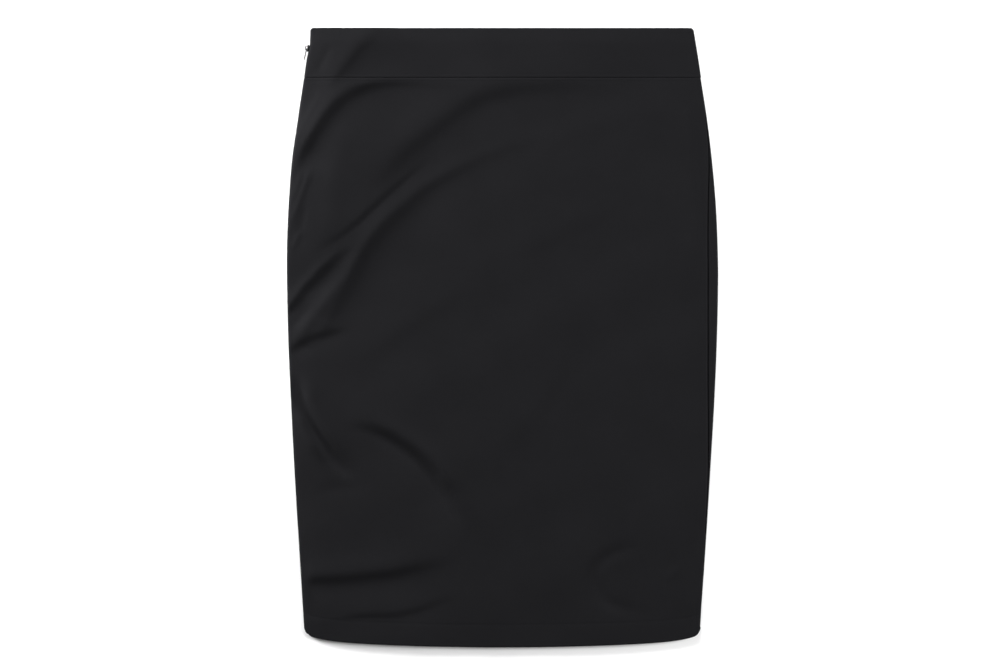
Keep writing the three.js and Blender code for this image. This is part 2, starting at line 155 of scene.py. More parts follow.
# Bulges that stand up on the left of their path only: rise, core, how far they reach, fade, path.
BULGES = [
    # The zip's closure, and the wide face of the hip below it.
    dict(rise=3.3, core=13, reach=34, fade=(0.1, 0.3),
         path=[(-134, 330), (-144, 308), (-158, 286), (-172, 262), (-184, 238), (-194, 216),
               (-202, 196), (-208, 178)]),
    dict(rise=4.4, core=14, reach=50, fade=(0.25, 0.35),
         path=[(-146, 250), (-156, 228), (-167, 203), (-175, 178), (-178, 153), (-179, 133),
               (-183, 113), (-190, 93), (-202, 72)]),
]

# Ridges, or troughs where the height is negative: height, half width, fade as above, and path.
RIDGES = [
    # Puckers of the zip's lower end.
    dict(height=0.35, wide=2.0, fade=(0.3, 0.3),
         path=[(-211, 182), (-202, 206), (-193, 224), (-186, 236), (-179, 249)]),
    dict(height=0.8, wide=2.4, fade=(0.3, 0.3),
         path=[(-214, 106), (-208, 124), (-201, 143), (-195, 160), (-191, 172)]),
    dict(height=0.6, wide=1.8, fade=(0.3, 0.3),
         path=[(-213, 128), (-208, 144), (-203, 158), (-199, 168)]),
    dict(height=-0.4, wide=2.2, fade=(0.3, 0.3), path=[(-206, 98), (-200, 116), (-196, 134)]),
    dict(height=0.5, wide=1.8, fade=(0.3, 0.3), path=[(-213, 84), (-206, 98), (-200, 110)]),
    dict(height=-0.5, wide=3, fade=(0.3, 0.3),
         path=[(-186, 262), (-181, 274), (-176, 283), (-168, 296)]),
    # Back of the pinch, its small puckers, and a faint dip far below it.
    dict(height=1.1, wide=4.5, fade=(0.2, 0.4),
         path=[(-211, -8), (-198, 9), (-187, 23), (-175, 40), (-165, 55), (-156, 70)]),
    dict(height=-0.6, wide=3.0, fade=(0.3, 0.4),
         path=[(-214, 8), (-206, 15), (-199, 24), (-192, 36)]),
    dict(height=-0.5, wide=1.6, fade=(0.3, 0.5), path=[(-206, -3), (-198, -9), (-188, -15)]),
    dict(height=0.4, wide=2.4, fade=(0.4, 0.4), path=[(-188, 22), (-180, 14), (-170, 10)]),
    dict(height=-0.5, wide=5, fade=(0.4, 0.4),
         path=[(-190, -160), (-172, -152), (-152, -150), (-134, -156)]),
    # Thigh fold: its near valley between two low shoulders, then its far valley and a shoulder.
    dict(height=-4.2, wide=4.0, fade=(0.2, 0.35),
         path=[(-214, -36), (-206, -52), (-201, -66), (-194, -80), (-186, -94), (-177, -108),
               (-168, -122), (-157, -134), (-144, -142)]),
    dict(height=2.4, wide=7, fade=(0.3, 0.4),
         path=[(-205, -31), (-197, -47), (-192, -61), (-185, -75), (-177, -89), (-168, -103),
               (-159, -116), (-148, -126)]),
    dict(height=2.5, wide=4.8, fade=(0.3, 0.4),
         path=[(-208, -64), (-201, -82), (-193, -99), (-184, -113), (-174, -128)]),
    dict(height=-2.8, wide=4.8, fade=(0.4, 0.4),
         path=[(-162, -86), (-146, -89), (-131, -93), (-116, -100), (-102, -109), (-86, -121),
               (-73, -134), (-64, -147), (-55, -163), (-46, -182), (-42, -200)]),
    dict(height=1.3, wide=6, fade=(0.4, 0.2),
         path=[(-138, -81), (-111, -91), (-96, -100), (-79, -113), (-65, -127), (-56, -140),
               (-46, -157)]),
    # Small folds at the right of the hem.
    dict(height=-1.0, wide=4.5, fade=(0.3, 0.3),
         path=[(146, -208), (126, -211), (108, -217), (95, -228), (93, -242), (105, -264),
               (130, -273), (160, -278)]),
    dict(height=0.4, wide=3, fade=(0.4, 0.4), path=[(160, -243), (169, -237), (182, -226)]),
]


def ramp(low, high, value):
    """0 below low and 1 above high, on a cubic with level ends."""
    t = np.clip((value - low) / (high - low), 0, 1)
    return t * t * (3 - 2 * t)


def through(rows, at, key=1):
    """A smooth curve through a table's rows, whose first column is the place: between two rows a
    cubic, whose slope at a row is that of the chord between the rows on either side of it."""
    table = np.array(rows, float)
    h, v = table[:, 0], table[:, key]
    before, after = np.arange(len(h)) - 1, np.arange(len(h)) + 1
    before[0], after[-1] = 0, len(h) - 1
    slope = (v[after] - v[before]) / (h[after] - h[before])
    at = np.clip(at, h[0], h[-1])
    k = np.clip(np.searchsorted(h, at, side="right") - 1, 0, len(h) - 2)
    step = h[k + 1] - h[k]
    t = (at - h[k]) / step
    return (v[k] * (1 + 2 * t) * (1 - t) ** 2 + slope[k] * step * t * (1 - t) ** 2
            + v[k + 1] * t ** 2 * (3 - 2 * t) - slope[k + 1] * step * t ** 2 * (1 - t))


def left_edge(y):
    """x of the left edge: the hip's, less the inset in the table."""
    return through(EDGE_INSETS, WAIST_Y - y, 1) - HIP_HALF


def right_edge(y):
    """x of the right edge, in the same way."""
    return HIP_HALF - through(EDGE_INSETS, WAIST_Y - y, 2)


def smooth_line(path, each=14):
    """Points on a smooth line through the path: both coordinates on the curve of through()."""
    path = np.array(path, float)
    at = np.linspace(0, len(path) - 1, each * (len(path) - 1) + 1)
    stops = np.arange(len(path))
    return np.stack([through(np.stack([stops, path[:, k]], 1), at) for k in (0, 1)], 1)


BELL_END = 3.5  # a bell curve is as good as nothing this many reaches out


def fold_frame(x, y, path, reach):
    """For each point near a fold, the distance from its path, positive on the path's right, and
    the share of the path's length at the nearest place. Points far from the path are left out."""
    line = smooth_line(path)
    lo, hi = line.min(0) - reach, line.max(0) + reach
    near = (x > lo[0]) & (x < hi[0]) & (y > lo[1]) & (y < hi[1])
    px, py = x[near], y[near]
    gap, share, side = np.full(px.shape, np.inf), np.zeros(px.shape), np.ones(px.shape)
    for i, (a, b) in enumerate(zip(line[:-1], line[1:])):
        run = b - a
        t = np.clip(((px - a[0]) * run[0] + (py - a[1]) * run[1]) / (run @ run), 0, 1)
        dx, dy = px - a[0] - t * run[0], py - a[1] - t * run[1]
        here = np.hypot(dx, dy)
        closer = here < gap
        gap = np.where(closer, here, gap)
        share = np.where(closer, (i + t) / (len(line) - 1), share)
        side = np.where(closer, np.where(dx * run[1] - dy * run[0] < 0, -1.0, 1.0), side)
    return near, side * gap, share


def fold_strength(share, fade):
    """A fold's strength along its path: growing over its first part and dying over its last."""
    return ramp(0, fade[0], share) * (1 - ramp(1 - fade[1], 1, share))


def drop_height(x, y, rise, core, high, low, fade, path):
    """A step from high on the left of the path to low on its right, steepest on the path itself
    and easing back to nothing on a bell curve on either side."""
    near, off, share = fold_frame(x, y, path, BELL_END * max(high, low))
    step = -(off / core) / np.sqrt(1 + (off / core) ** 2)
    reach = np.where(off < 0, high, low)
    added = np.zeros(x.shape)
    added[near] = rise * fold_strength(share, fade) * step * np.exp(-0.5 * (off / reach) ** 2)
    return added


def bulge_height(x, y, rise, core, reach, fade, path):
    """A smooth step up on the left of the path, easing back to nothing farther left."""
    near, off, share = fold_frame(x, y, path, BELL_END * reach)
    added = np.zeros(x.shape)
    added[near] = (rise * fold_strength(share, fade) / (1 + np.exp(2 * off / core))
                   * np.exp(-0.5 * (np.minimum(off, 0) / reach) ** 2))
    return added


def ridge_height(x, y, height, wide, fade, path):
    """A ridge along the path with the section of a bell curve."""
    near, off, share = fold_frame(x, y, path, BELL_END * wide)
    added = np.zeros(x.shape)
    added[near] = height * fold_strength(share, fade) * np.exp(-0.5 * (off / wide) ** 2)
    return added


def zip_share(x, y):
    """1 over the zip's tapes, falling to 0 beside and below them."""
    beside = 1 - ramp(ZIP_FLAT, ZIP_FLAT + ZIP_FALL, x - left_edge(y))
    return beside * ramp(ZIP_FADE_LOW, ZIP_FADE_HIGH, y)


WAVINESS = 0.16


def unevenness(x, y):
    """The slight waviness of cloth that nothing pulls flat: four long waves that cross."""
    return WAVINESS * (np.sin(x / 17 + y / 29) + np.sin(y / 21 - x / 38 + 1.7)
                       + np.sin(x / 26 - y / 13 + 0.6) + 0.7 * np.sin(x / 11 + y / 45 + 3.1))


def lie_height(x, y):
    """Height of the front's outer surface: the edges' thickness, a low loft, the zip's thickness
    and the folds, rounded off where it would come down onto the back panel."""
    share = (2 * x - right_edge(y) - left_edge(y)) / (right_edge(y) - left_edge(y))
    hem_top = HEM_Y + HEM_DEPTH
    single = (ramp(hem_top, hem_top + DOUBLED_FADE, y)
              * (1 - ramp(BAND_SEAM_Y - DOUBLED_FADE, BAND_SEAM_Y, y)))
    least = 2 * CLOTH + LEAST_GAP + (1 - single) * DOUBLED
    over_tape = ((1 - ramp(TAPE_COVER, TAPE_COVER_END, x - left_edge(y)))
                 * ramp(ZIP_FADE_LOW, ZIP_FADE_HIGH, y))
    least = least + (TAPE_TOP + CLOTH + TAPE_CLEAR - least) * over_tape
    height = EDGE + ZIP_RISE * zip_share(x, y) + LOFT * (1 - share ** 4)
    for drop in DROPS:
        height = height + drop_height(x, y, **drop)
    for bulge in BULGES:
        height = height + bulge_height(x, y, **bulge)
    for ridge in RIDGES:
        height = height + ridge_height(x, y, **ridge)
    height = (height + unevenness(x, y)
              - WAIST_ROLL * ramp(WAIST_Y - WAIST_ROLL_FADE, WAIST_Y + WAIST_ROLL_FADE / 4, y)
              - LEFT_EASE * np.exp(-(x - left_edge(y)) / LEFT_EASE_REACH))
    return least + LEAST_SOFT * np.logaddexp(0, (height - least) / LEAST_SOFT)


def edge_middle(side, y):
    """Height of the middle of a side edge: half its thickness there."""
    zip_part = np.where(side < 0, ZIP_RISE * ramp(ZIP_FADE_LOW, ZIP_FADE_HIGH, y), 0.0)
    return (EDGE + zip_part) / 2


def hem_rise(share, half):
    """How far the hem lies above its lowest point: a parabola, a steep tail and a round corner."""
    corner = np.maximum(HEM_CORNER - (1 - share) * half, 0)
    return (HEM_SAG * share ** 2 + HEM_TAIL * share ** 12
            + HEM_CORNER - np.sqrt(HEM_CORNER ** 2 - corner ** 2))


def waist_dip(share, half):
    """How far the waist edge lies below its highest point: its round corners."""
    corner = np.maximum(WAIST_CORNER - (1 - share) * half, 0)
    return WAIST_CORNER - np.sqrt(WAIST_CORNER ** 2 - corner ** 2)


# Low folds of the back, which lift it a little off the table: height, half width, fade and path.
LIFTS = [
    dict(height=0.9, wide=7, fade=(0.3, 0.4),
         path=[(206, 60), (160, 96), (118, 150), (92, 210), (80, 262)]),
    dict(height=0.7, wide=5, fade=(0.3, 0.4), path=[(212, 20), (170, 44), (132, 80), (108, 118)]),
    dict(height=0.8, wide=9, fade=(0.3, 0.5), path=[(150, 130), (90, 170), (20, 196), (-50, 206)]),
    dict(height=0.6, wide=4, fade=(0.3, 0.4),
         path=[(208, -30), (178, -60), (160, -104), (150, -140)]),
    dict(height=0.7, wide=8, fade=(0.3, 0.4), path=[(96, -90), (60, -120), (34, -166), (26, -206)]),
    dict(height=0.8, wide=6, fade=(0.25, 0.5),
         path=[(196, -236), (140, -240), (96, -232), (40, -222)]),
    dict(height=0.5, wide=12, fade=(0.3, 0.4), path=[(-20, 60), (-90, 96), (-140, 112)]),
    dict(height=0.5, wide=12, fade=(0.3, 0.4), path=[(10, -150), (-40, -84), (-66, -10)]),
    dict(height=0.6, wide=6, fade=(0.3, 0.4), path=[(-196, -150), (-150, -168), (-100, -172)]),
    dict(height=0.5, wide=5, fade=(0.3, 0.4), path=[(-180, 120), (-150, 158), (-132, 206)]),
]


LIFT_SHARE = 0.8  # of the room under the front
LIFT_FROM_SIDE, LIFT_FROM_HEM, LIFT_FROM_BAND = (4, 22), (4, 30), (6, 24)


def back_lift(x, y, top):
    """How far the back lies off the table: its folds, never more than the room under the front,
    and nothing near the edges."""
    lift = np.zeros(x.shape)
    for ridge in LIFTS:
        lift = np.maximum(lift, ridge_height(x, y, **ridge))
    inside = np.minimum(x - left_edge(y), right_edge(y) - x)
    along = ramp(*LIFT_FROM_HEM, y - HEM_Y) * ramp(*LIFT_FROM_BAND, BAND_SEAM_Y - y)
    room = np.maximum(LIFT_SHARE * (top - 2 * CLOTH - LEAST_GAP), 0)
    return np.minimum(lift, room) * ramp(*LIFT_FROM_SIDE, inside) * along


def section(side, arc, y, depth):
    """(x, z) of the cloth on a level row. arc is the length of cloth from the middle of a side
    edge, positive over the top and negative underneath; depth is how far inside the outer
    surface. Round the edge it is a quarter of an ellipse, and past that the lying surface."""
    edge = np.where(side < 0, left_edge(y), right_edge(y))
    bend = np.minimum(np.abs(arc) / QUARTER, 1) * np.pi / 2
    flat = np.maximum(np.abs(arc) - QUARTER, 0)
    x = edge - side * (TURN - (TURN - depth) * np.cos(bend) + flat)
    middle = edge_middle(side, y)
    top = lie_height(x, y)
    reach = np.where(arc > 0, top - middle, middle - back_lift(x, y, top))
    return x, middle + np.sign(arc) * (reach - depth) * np.sin(bend)


def lay(side, arc, row, depth, shift):
    """(x, y, z) of cloth: a point of section() on a row that follows the hem and the waist, moved
    along the skirt by shift."""
    half = (right_edge(row) - left_edge(row)) / 2
    bend = np.minimum(np.abs(arc) / QUARTER, 1) * np.pi / 2
    inset = TURN * (1 - np.cos(bend)) + np.maximum(np.abs(arc) - QUARTER, 0)
    share = np.abs(1 - inset / half)
    y = (row + hem_rise(share, half) * (1 - ramp(HEM_Y, HEM_Y + HEM_FADE, row))
         - waist_dip(share, half) * ramp(WAIST_Y - WAIST_DIP_FADE, WAIST_Y, row) + shift)
    x, z = section(side, arc, y, depth)
    return np.stack([x, y, z], -1)


CLOTH_MAP = "cloth"


def wall_object(name, outer, inner, across, along):
    """A closed mesh between two grids of points of the same shape: faces on both, and a rim round
    their edges. across and along are the cloth's own lengths, kept as its UV map in metres."""
    m, n = outer.shape[:2]
    ids = np.arange(2 * m * n).reshape(2, m, n)
    out, inn = ids

    def quads(a, b, c, d):
        return np.stack([a, b, c, d], -1).reshape(-1, 4)

    faces = np.concatenate([
        quads(out[:-1, :-1], out[1:, :-1], out[1:, 1:], out[:-1, 1:]),
        quads(inn[:-1, :-1], inn[:-1, 1:], inn[1:, 1:], inn[1:, :-1]),
        quads(inn[:-1, 0], inn[1:, 0], out[1:, 0], out[:-1, 0]),
        quads(out[:-1, -1], out[1:, -1], inn[1:, -1], inn[:-1, -1]),
        quads(out[0, :-1], out[0, 1:], inn[0, 1:], inn[0, :-1]),
        quads(inn[-1, :-1], inn[-1, 1:], out[-1, 1:], out[-1, :-1]),
    ])
    points = np.concatenate([outer.reshape(-1, 3), inner.reshape(-1, 3)]) * MM
    mesh = bpy.data.meshes.new(name)
    mesh.vertices.add(len(points))
    mesh.vertices.foreach_set("co", points.ravel())
    mesh.loops.add(faces.size)
    mesh.loops.foreach_set("vertex_index", faces.ravel())
    mesh.polygons.add(len(faces))
    mesh.polygons.foreach_set("loop_start", np.arange(0, faces.size, 4))
    mesh.update(calc_edges=True)
    mesh.shade_smooth()
    uv = np.tile(np.stack([across, along], -1).reshape(-1, 2) * MM, (2, 1))
    mesh.uv_layers.new(name=CLOTH_MAP).data.foreach_set("uv", uv[faces.ravel()].ravel())
    made = bpy.data.objects.new(name, mesh)
    bpy.context.scene.collection.objects.link(made)
    return made


def bell(s, place, reach):
    """A bell curve, 1 at its place."""
    return np.exp(-((s - place) / reach) ** 2)


def seam_profile(s):
    """How deep the cloth's face lies at distance s from a pressed seam: down into the seam, over a
    low roll beside it, and through the faint print of the stitching line."""
    return 0.26 * np.exp(-s / 0.45) - 0.05 * bell(s, 1.7, 0.9) + 0.06 * bell(s, 3.3, 0.7)


SEAM_STEPS = np.array([0, 0.25, 0.5, 0.8, 1.2, 1.6, 2.0, 2.5, 3.0, 3.4, 3.9, 4.6, 5.6, 7.0])


def seam_arc(y):
    """Length of cloth from the middle of the right edge to the side seam, from the table."""
    return np.maximum(through(RIGHT_SEAM, y), 0)


ZIP_END_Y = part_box("zip_coil")[0].y / MM
SLIDER_Y = (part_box("zip_slider")[0].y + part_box("zip_slider")[1].y) / 2 / MM


ZIP_GAP, ZIP_GAP_FADE = 0.2, 12
NECK_GAP, NECK_GAP_REACH = 0.7, 6


def left_gap(y):
    """Width of the opening in the left edge: a seam's gap, a little more along the zip, and room
    for the slider's neck."""
    return (SEAM_GAP + ZIP_GAP * ramp(ZIP_END_Y - ZIP_GAP_FADE, ZIP_END_Y, y)
            + NECK_GAP * np.exp(-((y - SLIDER_Y) / NECK_GAP_REACH) ** 4))


FRONT_CROWDING = 0.2  # how much closer the crossings lie on the left, where the folds are
LEFT_ROLL = np.linspace(1, 0, 10)[1:, None]


def front_stations(row, count):
    """Where the front crosses its rows, from the left seam to the right seam: the side of the
    edge that each length of cloth is measured from, and that length."""
    start = seam_arc(row) + SEAM_GAP / 2
    first = start + SEAM_STEPS[-1]
    last = QUARTER + right_edge(row) - left_edge(row) - 2 * TURN
    k = np.linspace(0, 1, count + 1)[1:, None]
    arcs = np.concatenate([
        start + SEAM_STEPS[:, None],
        first + (last - first) * k * (1 + FRONT_CROWDING * (1 - k)),
        left_gap(row) / 2 + (QUARTER - left_gap(row) / 2) * LEFT_ROLL,
    ])[::-1]
    side = np.where(np.arange(len(arcs)) < len(LEFT_ROLL), -1.0, 1.0)[:, None]
    return side, arcs


TURNED_ROWS, ROUND_ROWS = 5, 9  # rows on turned-up cloth, and round a pressed fold


def hem_rows(top_rows):
    """A panel's rows, from the raw edge of the turned-up cloth, down, round the fold and up:
    row, depth of the cloth's outer face, depth of its inner face, and both faces' shifts."""
    centre = HEM_Y + FOLD_RADIUS
    turned = np.linspace(HEM_Y + HEM_DEPTH, centre + 3, TURNED_ROWS)
    angle = np.linspace(np.pi, 0, ROUND_ROWS)
    inner_radius = FOLD_SPACE / 2
    row = np.concatenate([turned, np.full(ROUND_ROWS, centre), top_rows])
    out = np.concatenate([
        np.full(TURNED_ROWS, 2 * FOLD_RADIUS),
        FOLD_RADIUS * (1 - np.cos(angle)),
        0 * top_rows])
    inn = np.concatenate([
        np.full(TURNED_ROWS, CLOTH + FOLD_SPACE),
        FOLD_RADIUS - inner_radius * np.cos(angle),
        CLOTH + 0 * top_rows])
    drop = np.concatenate([0 * turned, np.sin(angle), 0 * top_rows])
    return row, out, inn, -FOLD_RADIUS * drop, -inner_radius * drop


PRESS_THROUGH = 0.4  # past this depth, pressing also moves the inner face


def cloth_piece(name, stations, rows, dip):
    """The closed mesh of one piece: stations across it, rows along it, and how far its outer face
    is pressed in, as a function of the stations and the rows."""
    row, out, inn, out_shift, in_shift = (r[None, :] for r in rows)
    side, arc = stations
    pressed = np.where(out == 0, dip(stations, row), 0.0)
    outer = lay(side, arc, row, out + pressed, out_shift)
    inner = lay(side, arc, row, inn + np.maximum(pressed - PRESS_THROUGH, 0), in_shift)
    steps = np.hypot(np.diff(row[0] + out_shift[0]), np.diff(out[0]))
    along = np.concatenate([[0], np.cumsum(steps)])
    across = np.where(side < 0, left_edge(row) - arc, right_edge(row) - arc)
    return wall_object(name, outer, inner, across, along + 0 * arc)


hem_top_y = HEM_Y + HEM_DEPTH
front_top_y = BAND_SEAM_Y - SEAM_GAP / 2
panel_rows = np.concatenate([
    HEM_Y + np.linspace(FOLD_RADIUS + 1.2, HEM_DEPTH - 3.5, 9),
    hem_top_y + np.array([-2.6, -1.8, -1.1, -0.5, 0.1, 0.8, 1.6, 2.6]),
    np.linspace(hem_top_y + 4.5, front_top_y - 9, 194),
    front_top_y - SEAM_STEPS[::-1],
])
front_rows = hem_rows(panel_rows)
FRONT_STEPS = 168
CATCH_BELOW = 2.2  # the line where the hem is caught, below the raw edge of the turned-up cloth
GROOVE_DEPTH, GROOVE_REACH = 1.3, 1.0  # of the side seam on the right
FAR = 99.0  # no seam near


def front_dip(way, row):
    """Pressing on the front panel's face: both seams, and the line where the hem is caught."""
    side, arc = way
    from_side = np.where(side > 0, arc - seam_arc(row) - SEAM_GAP / 2, FAR)
    turned = GROOVE_DEPTH * bell(from_side, 0, GROOVE_REACH)
    caught = 0.1 * bell(row, hem_top_y - CATCH_BELOW, 1.0)
    return turned + seam_profile(front_top_y - row) + caught


front_way = front_stations(front_rows[0][None, :], FRONT_STEPS)
front = cloth_piece("front_cloth", front_way, front_rows, front_dip)


# Stretch suiting: a fine close weave of black yarn, matt, with a faint soft sheen.
BANDS = 0.31  # a wave texture's scale for one band to each unit
YARN_WOBBLE = 1.4
TONE_CELLS, FLECK_CELLS = 22.0, 1400.0  # noise cells to the metre
WEAVE_RELIEF = 0.0001  # metres
CLOTH_SHINE, SHEEN_SPREAD, SHEEN_TINT = 0.07, 0.35, (0.9, 0.92, 1.0, 1)


def weave_group():
    """A shader group for fine cloth. Size is the yarn's pitch in metres. Height is the weave for
    a bump, the product of two crossed wave textures. Tone is a slow unevenness of the dye and
    Fleck the fine grain of the yarn, both from noise. All are about 0 to 1."""
    group = bpy.data.node_groups.new("fine_weave", "ShaderNodeTree")
    for name, kind, way in (
        ("Vector", "Vector", "INPUT"), ("Size", "Float", "INPUT"),
        ("Height", "Float", "OUTPUT"), ("Tone", "Float", "OUTPUT"), ("Fleck", "Float", "OUTPUT"),
    ):
        group.interface.new_socket(name, in_out=way, socket_type="NodeSocket" + kind)
    nodes, links = group.nodes, group.links
    given, result = nodes.new("NodeGroupInput"), nodes.new("NodeGroupOutput")
    pitch = nodes.new("ShaderNodeMath")
    pitch.operation = "DIVIDE"
    pitch.inputs[0].default_value = 1.0
    links.new(given.outputs["Size"], pitch.inputs[1])
    scaled = nodes.new("ShaderNodeVectorMath")
    scaled.operation = "SCALE"
    links.new(given.outputs["Vector"], scaled.inputs[0])
    links.new(pitch.outputs[0], scaled.inputs["Scale"])
    yarns = []
    for direction in ("X", "Y"):
        wave = nodes.new("ShaderNodeTexWave")
        wave.bands_direction = direction
        wave.inputs["Scale"].default_value = BANDS
        wave.inputs["Distortion"].default_value = YARN_WOBBLE
        wave.inputs["Detail"].default_value = 1.0
        links.new(scaled.outputs[0], wave.inputs["Vector"])
        yarns.append(wave)
    crossing = nodes.new("ShaderNodeMath")
    crossing.operation = "MULTIPLY"
    links.new(yarns[0].outputs["Fac"], crossing.inputs[0])
    links.new(yarns[1].outputs["Fac"], crossing.inputs[1])
    links.new(crossing.outputs[0], result.inputs["Height"])
    for output, scale, detail in (("Tone", TONE_CELLS, 3.0), ("Fleck", FLECK_CELLS, 2.0)):
        noise = nodes.new("ShaderNodeTexNoise")
        noise.inputs["Scale"].default_value = scale
        noise.inputs["Detail"].default_value = detail
        links.new(given.outputs["Vector"], noise.inputs["Vector"])
        links.new(noise.outputs["Fac"], result.inputs[output])
    return group


WEAVE = weave_group()


def cloth_material(name, dark, light, size, bump, roughness, sheen):
    """Woven cloth: colour between dark and light by its tone and fleck, and the weave as a bump."""
    material = bpy.data.materials.new(name)
    material.use_nodes = True
    nodes, links = material.node_tree.nodes, material.node_tree.links
    shader = nodes["Principled BSDF"]
    place = nodes.new("ShaderNodeUVMap")
    place.uv_map = CLOTH_MAP
    weave = nodes.new("ShaderNodeGroup")
    weave.node_tree = WEAVE
    weave.inputs["Size"].default_value = size
    links.new(place.outputs["UV"], weave.inputs["Vector"])
    patchy = nodes.new("ShaderNodeMix")
    patchy.inputs["Factor"].default_value = 0.5
    links.new(weave.outputs["Tone"], patchy.inputs["A"])
    links.new(weave.outputs["Fleck"], patchy.inputs["B"])
    colour = nodes.new("ShaderNodeMix")
    colour.data_type = "RGBA"
    colour.inputs["A"].default_value = (*dark, 1)
    colour.inputs["B"].default_value = (*light, 1)
    links.new(patchy.outputs["Result"], colour.inputs["Factor"])
    links.new(colour.outputs["Result"], shader.inputs["Base Color"])
    lift = nodes.new("ShaderNodeBump")
    lift.inputs["Strength"].default_value = bump
    lift.inputs["Distance"].default_value = WEAVE_RELIEF
    links.new(weave.outputs["Height"], lift.inputs["Height"])
    links.new(lift.outputs["Normal"], shader.inputs["Normal"])
    shader.inputs["Roughness"].default_value = roughness
    shader.inputs["Specular IOR Level"].default_value = CLOTH_SHINE
    shader.inputs["Sheen Weight"].default_value = sheen
    shader.inputs["Sheen Roughness"].default_value = SHEEN_SPREAD
    shader.inputs["Sheen Tint"].default_value = SHEEN_TINT
    return material


suiting = cloth_material(
    "suiting", dark=(0.0042, 0.0042, 0.0049), light=(0.0076, 0.0075, 0.0086),
    size=0.00045, bump=0.25, roughness=0.85, sheen=0.02)


def finish_cloth(piece, material, node):
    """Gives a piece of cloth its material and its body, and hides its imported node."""
    piece.data.materials.append(material)
    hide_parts(node)
    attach(piece, "skirt")


# The panels are cut with 12 mm seam allowances at the sides and 10 mm at the waist.
finish_cloth(front, suiting, "front_panel")

# ---------------------------------------------------------------------------------------------
# Back panel. The same cloth, face down on the table. Its fuller hip comes round the right edge
# to the side seam, and its lower edge is turned up like the front's.
# ---------------------------------------------------------------------------------------------


RIGHT_TURN_STEPS = np.concatenate([SEAM_STEPS[SEAM_STEPS < 4.5], np.linspace(4.6, 12, 9)])
BACK_LEFT_ROLL = np.linspace(0, 1, 9)[:, None]


def back_stations(row, count):
    """Where the back crosses its rows, from the right seam round the edge and under to the left
    seam. Underneath, the crossings crowd towards both edges."""
    end = seam_arc(row) - SEAM_GAP / 2
    share = (RIGHT_TURN_STEPS / RIGHT_TURN_STEPS[-1])[:, None]
    turn = np.linspace(0, np.pi, count + 1)[1:-1, None]
    width = right_edge(row) - left_edge(row) - 2 * TURN
    arcs = np.concatenate([
        end + (-QUARTER - end) * share,
        -QUARTER - width * (1 - np.cos(turn)) / 2,
        -QUARTER + (QUARTER - left_gap(row) / 2) * BACK_LEFT_ROLL,
    ])
    side = np.where(np.arange(len(arcs)) < len(arcs) - len(BACK_LEFT_ROLL), 1.0, -1.0)[:, None]
    return side, arcs


back_rows = hem_rows(np.concatenate([
    HEM_Y + np.linspace(FOLD_RADIUS + 1.2, HEM_DEPTH + 4, 10),
    np.linspace(hem_top_y + 8, front_top_y - 9, 120),
    front_top_y - SEAM_STEPS[::-1],
]))
BACK_STEPS = 60


def back_dip(way, row):
    """Pressing on the back panel's face: the right seam and the waistband seam, whose low roll is
    left out underneath, where the cloth lies on the table."""
    side, arc = way
    from_side = np.where(side > 0, seam_arc(row) - SEAM_GAP / 2 - arc, FAR)
    under = np.clip(-arc / QUARTER, 0, 1)
    pressed = GROOVE_DEPTH * bell(from_side, 0, GROOVE_REACH) + seam_profile(front_top_y - row)
    return np.maximum(pressed, -0.2 * (1 - under))


back_way = back_stations(back_rows[0][None, :], BACK_STEPS)
back = cloth_piece("back_cloth", back_way, back_rows, back_dip)
finish_cloth(back, suiting, "back_panel")

# ---------------------------------------------------------------------------------------------
# Waistband. Two straight strips of the suiting, front and back, folded double along the waist
# edge and sewn to the panels, joined at the right edge and open at the zip on the left.
# ---------------------------------------------------------------------------------------------

band_foot_y = BAND_SEAM_Y + SEAM_GAP / 2


def band_rows():
    """A waistband's rows, from the seam up its outside, over the fold and down its inside."""
    centre = WAIST_Y - FOLD_RADIUS
    outside = np.concatenate([
        band_foot_y + SEAM_STEPS,
        np.linspace(band_foot_y + 9, centre - 1.2, 16)])
    angle = np.linspace(0, np.pi, ROUND_ROWS)
    inside = np.linspace(centre - 3, band_foot_y, 8)
    inner_radius = FOLD_SPACE / 2
    row = np.concatenate([outside, np.full(ROUND_ROWS, centre), inside])
    out = np.concatenate([
        0 * outside,
        FOLD_RADIUS * (1 - np.cos(angle)),
        2 * FOLD_RADIUS + 0 * inside])
    inn = np.concatenate([
        CLOTH + 0 * outside,
        FOLD_RADIUS - inner_radius * np.cos(angle),
        CLOTH + FOLD_SPACE + 0 * inside])
    lift = np.concatenate([0 * outside, np.sin(angle), 0 * inside])
    return row, out, inn, FOLD_RADIUS * lift, inner_radius * lift


BAND_END_SHARE = 0.6  # how deep the seam at the right edge is, as a share of the long seam


def band_dip(way, row):
    """Pressing on the band's face: the long seam and the one at the right edge, with no low roll
    underneath, where the cloth lies on the table."""
    side, arc = way
    from_side = np.where(side > 0, np.abs(arc) - SEAM_GAP / 2, FAR)
    pressed = seam_profile(row - band_foot_y) + BAND_END_SHARE * seam_profile(from_side)
    return np.where(arc > 0, pressed, np.maximum(pressed, 0))


# The strips are cut with 10 mm seam allowances along both edges and 12 mm at the ends.
band_lines = band_rows()
for half_band, way, below in (
    ("waistband_front", front_stations(band_lines[0][None, :], 150), "waistband_back"),
    ("waistband_back", back_stations(band_lines[0][None, :], 50), "table"),
):
    band = cloth_piece(half_band + "_cloth", way, band_lines, band_dip)
    finish_cloth(band, suiting, half_band)

# ---------------------------------------------------------------------------------------------
# Zip tapes. Two woven polyester tapes that carry the concealed zip, sewn inside the left edge, one
# under the front and one over the back, from below the zip's end up into the waistband.
# ---------------------------------------------------------------------------------------------


